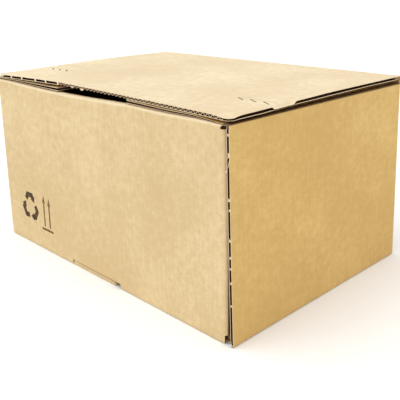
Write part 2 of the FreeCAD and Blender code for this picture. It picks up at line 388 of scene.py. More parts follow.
def paper(name, patches, finishes, body):
    """One layer of the sheet as a piece: its stretches welded where they meet."""
    points = []
    flat = []
    faces = []
    kinds = []
    count = 0
    for part_points, part_flat, part_faces, part_kinds in patches:
        points.append(part_points)
        flat.append(part_flat)
        faces.append(part_faces + count)
        kinds.append(part_kinds)
        count += len(part_points)
    points = np.concatenate(points)
    flat = np.concatenate(flat)
    faces = np.concatenate(faces)
    kinds = np.concatenate(kinds)
    rounded = np.round(points, 3)
    first, welded = np.unique(rounded, axis=0, return_index=True, return_inverse=True)[1:]
    corner_flat = flat[faces]
    faces = welded.reshape(-1)[faces]
    ordered = np.sort(faces, axis=1)
    group, copies = np.unique(ordered, axis=0, return_inverse=True, return_counts=True)[1:]
    whole = (ordered[:, 1:] != ordered[:, :-1]).all(axis=1) & (copies[group.reshape(-1)] == 1)
    corner_flat = corner_flat[whole].reshape(-1, 2)
    kinds = kinds[whole]
    used, faces = np.unique(faces[whole], return_inverse=True)
    faces = faces.reshape(-1, 4)
    mesh = bpy.data.meshes.new(name)
    mesh.from_pydata((points[first][used] * MM).tolist(), [], faces.tolist())
    blank = mesh.uv_layers.new(name="blank")
    blank.data.foreach_set("uv", (corner_flat * MM).reshape(-1))
    for finish in finishes:
        mesh.materials.append(finish)
    kinds = np.minimum(kinds, len(finishes) - 1)
    mesh.polygons.foreach_set("material_index", kinds)
    mesh.polygons.foreach_set("use_smooth", np.ones(len(faces), bool))
    mesh.set_sharp_from_angle(angle=SHARP_ANGLE)
    mesh.validate()
    piece = bpy.data.objects.new(name, mesh)
    bpy.context.collection.objects.link(piece)
    if body:
        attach(piece, body)
    return piece


def wave(u):
    return np.cos(2 * math.pi * u / FLUTE_PITCH)


def outer_face(u, v):
    return FACE + RIPPLE * (1 - wave(u))


def outer_back(u, v):
    return FACE + RIPPLE * (1 - wave(u)) + LINER


def medium_middle(u):
    return BOARD / 2 - FLUTE_RISE * wave(u)


def medium_half(u):
    steep = 2 * math.pi / FLUTE_PITCH * FLUTE_RISE * np.sin(2 * math.pi * u / FLUTE_PITCH)
    return MEDIUM / 2 * np.sqrt(1 + steep**2)


def medium_face(u, v):
    return medium_middle(u) - medium_half(u)


def medium_back(u, v):
    return medium_middle(u) + medium_half(u)


def inner_face(u, v):
    return BOARD - FACE - RIPPLE * (1 + wave(u)) - LINER


def inner_back(u, v):
    return BOARD - FACE - RIPPLE * (1 + wave(u))


class Signal:
    """A socket in a material's nodes, with arithmetic that adds Math nodes."""

    def __init__(self, tree, socket=None):
        self.tree = tree
        self.socket = socket

    def node(self, kind, settings, sockets, output=0):
        """Add one node: its settings first, then the values or links of its sockets."""
        made = self.tree.nodes.new(kind)
        for name, value in settings.items():
            setattr(made, name, value)
        for name, value in sockets.items():
            if isinstance(value, Signal):
                self.tree.links.new(value.socket, made.inputs[name])
            else:
                made.inputs[name].default_value = value
        return Signal(self.tree, made.outputs[output] if len(made.outputs) else None)

    def maths(self, operation, first, second):
        return self.node("ShaderNodeMath", {"operation": operation}, {0: first, 1: second})

    def __add__(self, other):
        return self.maths("ADD", self, other)

    def __radd__(self, other):
        return self.maths("ADD", other, self)

    def __sub__(self, other):
        return self.maths("SUBTRACT", self, other)

    def __rsub__(self, other):
        return self.maths("SUBTRACT", other, self)

    def __mul__(self, other):
        return self.maths("MULTIPLY", self, other)

    def __rmul__(self, other):
        return self.maths("MULTIPLY", other, self)

    def mix(self, first, second):
        """Two colours mixed by this signal."""
        return self.node("ShaderNodeMix", {"data_type": "RGBA"}, {0: self, 6: first, 7: second}, 2)

    def fade(self, low, high):
        """0 below low, 1 above high, smooth between."""
        settings = {"interpolation_type": "SMOOTHSTEP"}
        return self.node("ShaderNodeMapRange", settings, {0: self, 1: low, 2: high})


def linear(red, green, blue):
    """A colour for a shader from its screen values, 0 to 255."""
    parts = []
    for value in (red, green, blue):
        share = value / 255
        parts.append(share / 12.92 if share <= 0.04045 else ((share + 0.055) / 1.055) ** 2.4)
    return (*parts, 1.0)


def shaded(colour, factor):
    return (colour[0] * factor, colour[1] * factor, colour[2] * factor, 1.0)


def kraft(name, face, roughness=0.74, relief=0.3, crease=None):
    """Kraft paper: cloudy tone, fine streaks along the flutes, fibres and specks.

    crease gives the heights of a fold, the colour painted over it as a highlight or as shade, and
    how strong that is.
    """
    dark = (face[0] * 0.8, face[1] * 0.75, face[2] * 0.66, 1.0)
    light = (face[0] * 1.1, face[1] * 1.14, face[2] * 1.22, 1.0)
    material = bpy.data.materials.new(name)
    material.use_nodes = True
    tree = material.node_tree
    tree.nodes.clear()
    start = Signal(tree)
    blank = start.node("ShaderNodeUVMap", {"uv_map": "blank"}, {})
    across = start.node("ShaderNodeSeparateXYZ", {}, {0: blank})
    phase = across * (2 * math.pi / (FLUTE_PITCH * MM))
    flutes = start.node("ShaderNodeMath", {"operation": "COSINE"}, {0: phase})

    def noise(stretch, detail, roughness=0.6):
        scaled = start.node("ShaderNodeMapping", {}, {"Vector": blank, "Scale": stretch})
        sockets = {"Vector": scaled, "Scale": 1.0, "Detail": detail, "Roughness": roughness}
        return start.node("ShaderNodeTexNoise", {}, sockets)

    clouds = noise((9.0, 9.0, 1.0), 3.0)
    mottle = noise((120.0, 120.0, 1.0), 4.0, 0.65)
    streaks = noise((300.0, 14.0, 1.0), 3.0)
    fibres = noise((160.0, 1100.0, 1.0), 3.0)
    grains = noise((650.0, 650.0, 1.0), 2.0)
    tone = 0.5 + 0.9 * (clouds - 0.5) + 0.8 * (mottle - 0.5) + 0.06 * (streaks - 0.5)
    tone = tone + 0.3 * (fibres - 0.5) + 0.02 * flutes
    colour = tone.fade(0.15, 0.85).mix(dark, light)
    colour = (0.45 * (1 - tone.fade(0.2, 0.8))).mix(colour, face)
    colour = (0.35 * grains.fade(0.66, 0.76)).mix(colour, shaded(dark, 0.5))
    colour = (0.3 * fibres.fade(0.64, 0.8)).mix(colour, shaded(light, 1.1))
    # Painted light on a fold: a band of heights on the blank gets a flat colour, a painted highlight
    # on the front fold and painted shade on the side folds.
    if crease:
        upward = start.node("ShaderNodeSeparateXYZ", {}, {0: blank}, 1)
        begin, finish, painted_fold_light_and_shade, share = crease
        creased = upward.fade((begin - 2) * MM, begin * MM)
        creased = creased * (1 - upward.fade(finish * MM, (finish + 2) * MM))
        colour = (creased * (share + 0.5 * (mottle - 0.5))).mix(colour, painted_fold_light_and_shade)
    height = 0.06 * streaks + 0.3 * fibres + 0.3 * grains + 0.05 * flutes
    bump = {"Strength": relief, "Distance": 0.0003, "Height": height}
    normal = start.node("ShaderNodeBump", {}, bump)
    surface = start.node("ShaderNodeBsdfPrincipled", {}, {
        "Base Color": colour,
        "Roughness": roughness + 0.12 * (mottle - 0.5),
        "Normal": normal,
        "Specular IOR Level": 0.25,
    })
    start.node("ShaderNodeOutputMaterial", {"is_active_output": True}, {"Surface": surface})
    return material


# The front fold gets a pale painted highlight. The side folds get dark painted shade, for the shadow
# under the lid.
FRONT_FOLD_HIGHLIGHT = (FRONT_TOP - FOLD_RADIUS + 0.8, FRONT_TOP + 0.8, linear(232, 216, 184), 0.65)
SIDE_FOLD_SHADE = (FLAP_TOP - RIGHT_FOLD_DROP - 0.6, FLAP_TOP + 1.5, linear(58, 30, 12), 0.9)
kraft_front = kraft("kraft_front", linear(210, 186, 141), crease=FRONT_FOLD_HIGHLIGHT)
# The side walls' darker, more golden tone is partly painted shade, for the side turned away from the
# key lamp; it is the same kraft as the front.
kraft_side = kraft("kraft_side", linear(207, 172, 106), crease=SIDE_FOLD_SHADE)
kraft_back = kraft("kraft_back", linear(210, 182, 130))
kraft_inside = kraft("kraft_inside", linear(180, 146, 98))
kraft_cut = kraft("kraft_cut_edge", linear(228, 204, 168), 0.85, 0.6)
fluting_paper = kraft("fluting_paper", linear(98, 64, 34), 0.9, 0.5)
# The paper faces inside the flutes are painted dark brown, as painted shade in the hollows of the
# board.
hollow_painted_shade = kraft("hollow_painted_shade", linear(80, 50, 25), 0.9, 0.4)

SLOT_PLACES = (front_place(SLOT_START), front_place(SLOT_START + SLOT_LENGTH))
BOTTOM_FLAP_ENDS = BOTTOM_FLAP_CUTBACK + BOTTOM_FLAP_RAMP
BOTTOM_SIDE_INSET = BOARD + LAYER_GAP
CORNER_SHORTFALL = 0.6
CORNER_TOP = FRONT_TOP - CORNER_SHORTFALL
SHARED_ROWS_DROP = 2.6
WALL_ROWS_TOP = FRONT_TOP - FOLD_RADIUS - SHARED_ROWS_DROP
BACK_TOP = 206.0
BOTTOM_NOTCH = 9.0
NOTCH_START = 2.4
NOTCH_HALF = 4.0
NOTCH_WIDEST = 1.05
NOTCH_TAPER = 0.9
# This width of the seam fold's outer face is painted dark, as shade in the seam gap.
SEAM_SHADE_WIDTH = 3.0
RECESS = 5.0
OVERHANG_DROP = 1.2
OVERHANG_INSET = 0.2

left_line = Course([(LEFT, BACK, 0), (LEFT, FRONT, 0)])
left_line.measured_from(CORNER_RADIUS, LEFT_WALL[0])


def rows(section, begin, finish, step, turns, marks=()):
    """Heights of a stretch's points: even steps on the flat, closer ones round a fold."""
    stops = [begin]
    at = begin
    for start, end in [*section.arcs, (finish, finish)]:
        start = min(max(start, begin), finish)
        end = min(max(end, begin), finish)
        if start > at:
            stops += list(places(at, start, step, marks))[1:]
        if end > start:
            stops += list(np.linspace(start, end, turns + 1))[1:]
        at = max(at, end)
    return np.array(stops)


def sheet(column, row, turns, outer, inner, recessed):
    """One paper layer of the folded sheet, as stretches that share their edges."""
    middle = list(places(FOLD_RADIUS, WALL_ROWS_TOP, row, [SLOT_HEIGHT, BOTTOM_NOTCH]))
    stretches = []

    def stretch(begin, finish, section, low, high, keep, marks=(), kind=0):
        below = rows(section, low, FOLD_RADIUS, row, turns, marks)
        above = rows(section, WALL_ROWS_TOP, high, row, turns)
        v = np.array([*below[:-1], *middle, *above[1:]])
        u = places(begin, finish, column, marks)

        def place(along, high, depth):
            return fold(along, high, depth, section)

        points, flat, faces, kinds = patch(u, v, outer, inner, place, keep)
        kinds = np.where(kinds == 0, kind, kinds)
        stretches.append((points, flat, faces, kinds))

    def section_bottom(section):
        starts = [start for start, end in section.arcs if end <= FOLD_RADIUS + SAME_PLACE]
        return starts[-1]

    def front_keep(u, v):
        flap = u > front_place(LEFT + BOTTOM_FLAP_ENDS)
        flap &= u < front_place(RIGHT - BOTTOM_FLAP_ENDS)
        slot = (u > SLOT_PLACES[0]) & (u < SLOT_PLACES[1])
        slot &= (v < SLOT_HEIGHT) & (v > section_bottom(front_section) - SLOT_REACH + FOLD_RADIUS)
        return ((v > section_bottom(front_section)) | flap) & ~slot

    def back_keep(u, v):
        x = RIGHT - (u - BACK_WALL[0]) - CORNER_RADIUS
        flap = np.abs(x) < RIGHT - BOTTOM_FLAP_ENDS
        return (v > section_bottom(back_section)) | flap

    def right_keep(u, v):
        y = FRONT + u
        flap = np.abs(y) < BACK - BOTTOM_SIDE_INSET
        kept = (v > section_bottom(right_section)) | flap
        return kept & ~(recessed & (u < RECESS))

    def left_keep(u, v):
        y = BACK - CORNER_RADIUS - (u - LEFT_WALL[0])
        flap = np.abs(y) < BACK - BOTTOM_SIDE_INSET
        kept = (v > section_bottom(left_section)) | flap
        overhang = (u > LEFT_WALL[1]) & (v < left_section.arcs[3][1] - OVERHANG_DROP)
        return kept & ~overhang & ~(recessed & (y < FRONT + RECESS) & (v > left_section.arcs[3][0]))

    def corner_keep(u, v):
        bottom_notch = (u > ring.arcs[3][0] + NOTCH_START) & (v < BOTTOM_NOTCH)
        narrowed = np.clip((v - WALL_ROWS_TOP) / (CORNER_TOP - WALL_ROWS_TOP), 0, 1)
        away = np.abs(u - (ring.arcs[3][0] + NOTCH_HALF)) / NOTCH_HALF
        top_notch = (away < NOTCH_WIDEST - NOTCH_TAPER * narrowed) & (v > WALL_ROWS_TOP)
        return ~bottom_notch & ~top_notch

    slot_marks = [*SLOT_PLACES, section_bottom(front_section) - SLOT_REACH + FOLD_RADIUS]
    stretch(*FRONT_WALL, front_section, front_section.start(), front_section.end(),
            front_keep, marks=slot_marks)
    stretch(*BACK_WALL, back_section, back_section.start(), BACK_TOP, back_keep, kind=4)
    stretch(*RIGHT_WALL, right_section, right_section.start(), right_section.end(),
            right_keep, marks=[RECESS], kind=3)
    stretch(*LEFT_WALL, left_section, left_section.start(), left_section.arcs[3][0],
            left_keep, kind=3)
    flap_rows = rows(left_section, left_section.arcs[3][0], left_section.end(), row, turns)
    flap_end = LEFT_WALL[1] + CORNER_RADIUS - OVERHANG_INSET
    flap_places = places(LEFT_WALL[0], flap_end, column, [LEFT_WALL[1]])

    def left_flap(along, high, depth):
        return fold(along, high, depth, left_section, left_line)

    stretches.append(patch(flap_places, flap_rows, outer, inner, left_flap, left_keep))
    for start, end in ring.arcs:
        bottom = section_bottom(front_section)
        stretch(start, end, front_section, bottom, CORNER_TOP, corner_keep)
    points, flat, faces, kinds = stretches[-1]
    # The last millimetres of the seam fold's outer face get the dark hollow paint, as painted shade
    # in the gap at the glued corner.
    glued = flat[faces[:, 0], 0] > ring.arcs[3][1] - SEAM_SHADE_WIDTH
    stretches[-1] = (points, flat, faces, np.where((kinds == 0) & glued, 1, kinds))
    glue_rows = rows(front_section, BOARD + LAYER_GAP, WALL_ROWS_TOP, row, turns)
    glue_places = places(ring.arcs[3][1], ring.end(), column)

    def glue_flap(along, high, depth):
        return fold(along, high, depth, front_section)

    # The glue flap's outer face gets the dark hollow paint too, as painted shade where it shows in
    # the seam gap.
    points, flat, faces, kinds = patch(glue_places, glue_rows, outer, inner, glue_flap)
    stretches.append((points, flat, faces, np.where(kinds == 0, 1, kinds)))
    return stretches


LINER_COLUMN = FLUTE_PITCH / 4
MEDIUM_COLUMN = FLUTE_PITCH / 6
INSIDE_COLUMN = FLUTE_PITCH / 2

outer_liner = paper(
    "box_outer_liner",
    sheet(LINER_COLUMN, 24.0, 7, outer_face, outer_back, False),
    [kraft_front, hollow_painted_shade, kraft_cut, kraft_side, kraft_back],
    "box",
)
fluting = paper(
    "box_fluting",
    sheet(MEDIUM_COLUMN, 48.0, 4, medium_face, medium_back, True),
    [fluting_paper] * 4,
    "box",
)
inner_liner = paper(
    "box_inner_liner",
    sheet(INSIDE_COLUMN, 30.0, 5, inner_face, inner_back, False),
    [hollow_painted_shade, kraft_inside, kraft_cut, hollow_painted_shade],
    "box",
)
for piece in (outer_liner, fluting, inner_liner):
    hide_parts("box_body")

# The lock tab.
# The inner front panel ends in a tab of the same board, pushed out through the slot in the
# front bottom fold. Its creased edge fills the slot, and leaves a dark notch at the right end.
TAB_START = SLOT_START + 0.4
TAB_END = SLOT_START + 82.0
TAB_TOP = SLOT_HEIGHT - 1.3
TAB_INSET = 0.9
TAB_REACH = 12.0
TAB_ROUNDING = 3.0
TAB_LIFT = 0.25
TAB_BEND = 1.6
TAB_RISE = 1.0
TAB_END_SHRINK = 2.0
TAB_END_HEIGHT = 0.35
TAB_RIPPLE = 0.02
TAB_SHEET = 1.1
tab_section = Course([
    (-TAB_REACH, TAB_LIFT, 0),
    (-TAB_INSET, TAB_LIFT, TAB_BEND),
    (-TAB_INSET, TAB_TOP, TAB_BEND),
    (-TAB_REACH, TAB_TOP + TAB_RISE, 0),
])


def tab_place(along, high, depth):
    x, y, nx, ny = ring.at(along)
    a, b, na, nb = tab_section.at(high)
    left_over = np.clip((front_place(TAB_END) - along) / TAB_ROUNDING, 0, 1)
    rounded = np.sqrt(1 - (1 - left_over) ** 2)
    out = a - na * depth - TAB_END_SHRINK * (1 - rounded)
    height = (b - nb * depth) * (TAB_END_HEIGHT + (1 - TAB_END_HEIGHT) * rounded)
    return settle(x + nx * out, y + ny * out, height)


tab_places = places(front_place(TAB_START), front_place(TAB_END), 1.0)
tab_rows = rows(tab_section, 0.0, tab_section.length, 4.0, 6)
lock_tab = paper(
    "lock_tab",
    [patch(
        tab_places,
        tab_rows,
        lambda u, v: TAB_RIPPLE * wave(u),
        lambda u, v: TAB_RIPPLE * wave(u) + TAB_SHEET,
        tab_place,
    )],
    [kraft_front, kraft_inside, kraft_cut],
    "box",
)
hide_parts("box_body")

# Torn fluting in the glued corner.
# The right wall ends in a raw edge cut along the flutes. Shreds of the fluting medium still
# bridge its two liners there, pale where the paper tore.
SHREDS = (
    (198.5, 3.4, 0.8),
    (181.5, 6.0, -0.6),
    (141.0, 4.0, 0.5),
    (132.5, 3.0, -0.8),
    (103.5, 4.2, 0.9),
    (88.0, 3.0, -0.4),
    (77.0, 2.6, 0.6),
    (64.0, 3.4, -0.7),
    (41.0, 2.4, 0.5),
)
SHRED_WAIST = 0.45
SHRED_SETBACK = 0.35
SHRED_WANDER = 0.8
SHRED_RIPPLE = 0.06
SHRED_WAVES = 9
SHRED_SHEET = 0.35


def strip(across, along, ripple, thickness, place):
    """A small strip of wavy paper, placed by its shares across and along."""
    return patch(
        np.linspace(0, 1, across),
        np.linspace(0, 1, along),
        ripple,
        lambda u, v: thickness + ripple(u, v),
        place,
    )


def shred_ripple(u, v):
    return SHRED_RIPPLE * np.sin(SHRED_WAVES * v)


shreds = []
for height, tall, slant in SHREDS:
    def shred_place(across, up, lift, height=height, tall=tall, slant=slant):
        depth = LINER + across * (BOARD - 2 * LINER)
        waist = 1 - SHRED_WAIST * np.sin(math.pi * across)
        v = height + (up - 0.5) * tall * waist + slant * across
        inward = SHRED_SETBACK + SHRED_WANDER * np.sin(math.pi * across + slant) ** 2 + lift
        return fold(inward, v, depth, right_section)

    shreds.append(strip(9, 4, shred_ripple, SHRED_SHEET, shred_place))

LONG_SHRED_HEIGHT = 166.0
LONG_SHRED_RISE = 13.0
LONG_SHRED_CURVE = 1.4
LONG_SHRED_TALL = 1.5
LONG_SHRED_INNER = BOARD + 1.6
LONG_SHRED_SPAN = BOARD + 1.4
LONG_SHRED_SETBACK = 0.15
LONG_SHRED_CURL = 0.3
LONG_SHRED_SHEET = 0.3


def long_shred(across, up, lift):
    depth = LONG_SHRED_INNER - across * LONG_SHRED_SPAN
    v = LONG_SHRED_HEIGHT + LONG_SHRED_RISE * across**LONG_SHRED_CURVE
    v = v + (up - 0.5) * LONG_SHRED_TALL
    inward = LONG_SHRED_SETBACK + lift + LONG_SHRED_CURL * np.sin(3 * across)
    return fold(inward, v, depth, right_section)


shreds.append(strip(12, 3, lambda u, v: 0 * u, LONG_SHRED_SHEET, long_shred))
torn_paper = kraft("torn_paper", linear(238, 216, 180), 0.9, 0.6)
torn_fluting = paper("torn_fluting", shreds, [torn_paper], "box")
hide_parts("box_body")

# The printed marks.
# Two public handling pictograms are printed low on the front wall in thin brown ink: the three
# chasing arrows, and two upright arrows over a bar. The ink soaks in unevenly.
INK_PROUD = 0.02
INK_ROOT = 0.3


def ink(name, full, faint):
    """Flat ink that lets some kraft through."""
    material = bpy.data.materials.new(name)
    material.use_nodes = True
    tree = material.node_tree
    tree.nodes.clear()
    start = Signal(tree)
    place = start.node("ShaderNodeTexCoord", {}, {}, "Object")
    patches = start.node("ShaderNodeTexNoise", {}, {"Vector": place, "Scale": 170.0, "Detail": 3.0})
    fine = start.node("ShaderNodeTexNoise", {}, {"Vector": place, "Scale": 900.0, "Detail": 2.0})
    cover = 0.7 * patches + 0.3 * fine
    colour = cover.fade(0.42, 0.62).mix(full, faint)
    surface = start.node("ShaderNodeBsdfPrincipled", {}, {
        "Base Color": colour,
        "Roughness": 0.6 + 0.2 * fine,
        "Specular IOR Level": 0.3,
    })
    start.node("ShaderNodeOutputMaterial", {"is_active_output": True}, {"Surface": surface})
    return material


def printed(name, outlines, finish):
    """Flat shapes on the front wall, from outlines in X from the left wall and height."""
    points = []
    faces = []
    for outline in outlines:
        count = len(points)
        number = len(outline)
        flat = np.array(outline, float)
        for depth in (INK_PROUD, INK_ROOT):
            x, y, z = fold(front_place(LEFT + flat[:, 0]), flat[:, 1], depth, front_section)
            points += np.stack([x, y, z], -1).tolist()
        triangles = tessellate_polygon([[Vector((px, pz, 0)) for px, pz in outline]])
        turn = sum(
            outline[k - 1][0] * outline[k][1] - outline[k][0] * outline[k - 1][1]
            for k in range(number)
        )
        for a, b, c in triangles:
            corner = flat[[a, b, c]]
            twist = np.cross(corner[1] - corner[0], corner[2] - corner[0])
            a, b, c = (a, b, c) if twist > 0 else (a, c, b)
            faces.append((count + a, count + b, count + c))
            faces.append((count + number + c, count + number + b, count + number + a))
        for k in range(number):
            a, b = (k - 1) % number, k
            if turn < 0:
                a, b = b, a
            faces.append((count + b, count + a, count + number + a, count + number + b))
    mesh = bpy.data.meshes.new(name)
    mesh.from_pydata((np.array(points) * MM).tolist(), [], faces)
    mesh.materials.append(finish)
    mesh.validate()
    piece = bpy.data.objects.new(name, mesh)
    bpy.context.collection.objects.link(piece)
    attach(piece, "box")
    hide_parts("box_body")


MARK_CENTRE = (55.5, 50.0)
MARK_SCALE = 1.1
CHASING_ARROW = (
    (-5.4, 6.6), (-10.6, 9.6), (-6.4, 17.0), (6.4, 17.0), (8.6, 13.1), (10.2, 14.0),
    (9.3, 5.9), (1.9, 9.2), (3.4, 10.1), (2.9, 11.0), (-2.9, 11.0),
)
chasing = []
for turn in (0, 120, 240):
    angle = math.radians(turn)
    outline = []
    for x, z in CHASING_ARROW:
        turned_x = x * math.cos(angle) + z * math.sin(angle)
        turned_z = z * math.cos(angle) - x * math.sin(angle)
        outline.append((
            MARK_CENTRE[0] + MARK_SCALE * turned_x,
            MARK_CENTRE[1] + MARK_SCALE * turned_z,
        ))
    chasing.append(outline)
dark_ink = ink("dark_ink", linear(52, 36, 18), linear(92, 66, 38))
printed("recycling_mark", chasing, dark_ink)

ARROWS = ((88.8, 71.5), (100.6, 70.2))
ARROW_FOOT = 32.0
ARROW_HEAD = 9.5
ARROW_WIDTH = 6.8
HEAD_SLOPE = 0.8
SHAFT_WIDTH = 2.6
BAR = (81.5, 107.0, 26.8, 29.6)
upright = []
for middle, tip in ARROWS:
    head_foot = tip - ARROW_HEAD
    upright.append([
        (middle, tip),
        (middle + ARROW_WIDTH / 2, head_foot),
        (middle + SHAFT_WIDTH / 2, head_foot + HEAD_SLOPE),
        (middle + SHAFT_WIDTH / 2, ARROW_FOOT),
        (middle - SHAFT_WIDTH / 2, ARROW_FOOT),
        (middle - SHAFT_WIDTH / 2, head_foot + HEAD_SLOPE),
        (middle - ARROW_WIDTH / 2, head_foot),
    ])
upright.append([(BAR[0], BAR[2]), (BAR[1], BAR[2]), (BAR[1], BAR[3]), (BAR[0], BAR[3])])
brown_ink = ink("brown_ink", linear(96, 68, 36), linear(132, 100, 60))
printed("this_way_up_mark", upright, brown_ink)

# The lid.
# The back wall's board carries on past its top fold as one full lid panel. Its flutes run to
# the front edge, where they are cut open, and its right edge is cut along them.
LID_CREASE_REACH = 9.4
LID_INSET = 0.1
FINGER_TAB_START = 56.5
FINGER_TAB_LENGTH = 31.0
FINGER_TAB = (FRONT + FINGER_TAB_START, FRONT + FINGER_TAB_START + FINGER_TAB_LENGTH)
FINGER_TAB_DEPTH = 8.0
FINGER_TAB_KEPT = 0.24
FINGER_TAB_EASE = 2.0
FINGER_TAB_FLAT = 3.0
FINGER_TAB_MARGINS = (4.0, 5.0)
FINGER_TAB_ROW = 1.5
RIM_ROWS = (18.0, 13.0, 9.0, 6.0, 3.0, 0.0)
RIM_DEPTH = 6.0
RIM_WAVER = 0.35
RIM_WAVE_STEP = 7.0
CLOSEST_ROWS = 0.7
LOOSE_EDGE = 7.0
LOOSE_WAVER = 0.35
LOOSE_WAVE_STEP = 9.0
LOOSE_SHARE = 0.9
CRUSHED_CORNER = 24.0
CRUSHED_DEPTH = CRUSHED_CORNER * 0.7
CORNER_CRUSH = 0.38
CORNER_DROP = 0.5
BLUNT_CORNER = (9.0, 6.0)
BLUNTING = 0.42
LID_EDGE_RECESS = 8.0
CRUSHED_FLUTES_END = LEFT + 145.0
FRONT_RECESS = 12.0
TORN_BACK = (-61.0, 64.0)
TORN_DEPTH = 6.0

lid_line = Course([(RIGHT, BACK, 0), (LEFT, BACK, 0)])
lid_start = back_section.arcs[1][1] + LID_CREASE_REACH
lid_end = back_section.end()
EDGE_DRAWS = 64
random = np.random.default_rng(7)
edge_wobble = random.normal(0, 1, EDGE_DRAWS)


def wobble(along, step):
    """A small random waver along an edge, always the same."""
    place = np.clip(along / step, 0, EDGE_DRAWS - 4)
    whole = np.floor(place).astype(int)
    return edge_wobble[whole] + (edge_wobble[whole + 1] - edge_wobble[whole]) * smooth(place - whole)


def lid_place(along, high, depth):
    """A point of the lid: pressed flat at the finger tab, crushed at the near corner."""
    x, y, nx, ny = lid_line.at(along)
    a, b, na, nb = back_section.at(high)
    y = y + a - na * depth
    rim_share = smooth((high - lid_end + RIM_DEPTH) / RIM_DEPTH)
    y = y + rim_share * RIM_WAVER * (1 + np.clip(wobble(along, RIM_WAVE_STEP), -1, 1))
    tab = smooth((x - RIGHT + FINGER_TAB_DEPTH) / (FINGER_TAB_DEPTH - FINGER_TAB_FLAT))
    tab = tab * smooth((y - FINGER_TAB[0] + FINGER_TAB_EASE) / (2 * FINGER_TAB_EASE))
    tab = tab * smooth((FINGER_TAB[1] + FINGER_TAB_EASE - y) / (2 * FINGER_TAB_EASE))
    kept = 1 - (1 - FINGER_TAB_KEPT) * tab
    corner = smooth((x - RIGHT + CRUSHED_CORNER) / CRUSHED_CORNER)
    corner = corner * smooth((FRONT + CRUSHED_DEPTH - y) / CRUSHED_DEPTH)
    kept = kept * (1 - CORNER_CRUSH * corner)
    side = smooth((x - RIGHT + LOOSE_EDGE) / LOOSE_EDGE)
    waver = LOOSE_WAVER * np.clip(wobble(y - FRONT, LOOSE_WAVE_STEP), -1, 1)
    loose = np.clip(depth / BOARD, 0, 1) * side * waver
    z = TOP - BOARD + (BOARD - depth) * kept + loose * (1 - tab) * LOOSE_SHARE
    z = z - CORNER_DROP * corner
    blunted = np.clip(1 - (RIGHT - x) / BLUNT_CORNER[0] - (y - FRONT) / BLUNT_CORNER[1], 0, 1)
    x = x - BLUNTING * BLUNT_CORNER[0] * blunted
    y = y + BLUNTING * BLUNT_CORNER[1] * blunted
    return settle(x, y, z)


def lid_fluting_keep(u, v):
    """The medium stops short of both side edges, and of the front where it is crushed."""
    x = RIGHT - u
    y = BACK - (v - back_section.arcs[1][1]) - LID_FOLD_RADIUS
    crushed = (x < CRUSHED_FLUTES_END) & (y < FRONT + FRONT_RECESS)
    return (x < RIGHT - LID_EDGE_RECESS) & (x > LEFT + RECESS) & ~crushed


def lid_liner_keep(u, v):
    """The lower liner is torn back along the gap between the dust flaps."""
    x = RIGHT - u
    y = BACK - (v - back_section.arcs[1][1]) - LID_FOLD_RADIUS
    return ~((x > TORN_BACK[0]) & (x < TORN_BACK[1]) & (y < FRONT + TORN_DEPTH))


def lid_layer(column, row, outer, inner, keep=None):
    """One paper layer of the lid, with close rows at its front rim and the finger tab."""
    marks = [LID_EDGE_RECESS, RIGHT - CRUSHED_FLUTES_END]
    marks += [RIGHT - TORN_BACK[1], RIGHT - TORN_BACK[0]]
    u = places(LID_INSET, RIGHT - LEFT - LID_INSET, column, marks)
    rim_rows = list(lid_end - np.array(RIM_ROWS))
    finger_begin = lid_end - FINGER_TAB[1] + FRONT - FINGER_TAB_MARGINS[0]
    finger_end = lid_end - FINGER_TAB[0] + FRONT + FINGER_TAB_MARGINS[1]
    finger_rows = list(np.arange(finger_begin, finger_end, FINGER_TAB_ROW))
    stops = sorted({*places(lid_start, rim_rows[0], row), *finger_rows, *rim_rows})
    v = [stops[0]]
    for stop in stops[1:]:
        if stop - v[-1] > CLOSEST_ROWS:
            v.append(stop)
    return [patch(u, np.array(v), outer, inner, lid_place, keep)]


# The lid's paler tone is partly painted light, for the top that faces the lamp and the sky; it is
# the same board as the back wall.
kraft_lid = kraft("kraft_lid", linear(223, 205, 170))
lid_outer = paper(
    "lid_outer_liner",
    lid_layer(LINER_COLUMN, 20.0, outer_face, outer_back),
    [kraft_lid, hollow_painted_shade, kraft_cut],
    "lid",
)
lid_fluting = paper(
    "lid_fluting",
    lid_layer(FLUTE_PITCH / 8, 30.0, medium_face, medium_back, lid_fluting_keep),
    [fluting_paper, fluting_paper, kraft_cut],
    "lid",
)
lid_inner = paper(
    "lid_inner_liner",
    lid_layer(INSIDE_COLUMN, 24.0, inner_face, inner_back, lid_liner_keep),
    [hollow_painted_shade, kraft_side, kraft_cut],
    "lid",
)

# Torn bits of the lid's edge.
# Two pale scraps of the lower liner hang from the lid's front edge, over the gap between the
# dust flaps.
SCRAPS = ((-34.0, 4.4, 1.7), (-15.5, 6.0, 2.3))
SCRAP_SETBACK = 0.7
SCRAP_LEAN = 0.8
SCRAP_ROOT = 1.2
SCRAP_LOBE = 0.5
SCRAP_SIDE = 0.3
SCRAP_RIPPLE = 0.08
SCRAP_WAVES = 7
SCRAP_SHEET = 0.4


def scrap_ripple(u, v):
    return SCRAP_RIPPLE * np.sin(SCRAP_WAVES * u)


scraps = []
for middle, width, drop in SCRAPS:
    def scrap_place(across, down, lift, middle=middle, width=width, drop=drop):
        lobe = np.sqrt(np.clip(1 - (2 * across - 1) ** 2, 0, 1))
        x = middle + (across - 0.5) * width
        y = FRONT + SCRAP_SETBACK + lift + SCRAP_LEAN * down
        z = TOP - BOARD + SCRAP_ROOT + SCRAP_LOBE * lobe - down * (SCRAP_SIDE + lobe) * drop
        return settle(x, y, z)

    scraps.append(strip(9, 4, scrap_ripple, SCRAP_SHEET, scrap_place))
lid_scraps = paper("lid_scraps", scraps, [torn_paper], "lid")
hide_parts("lid")

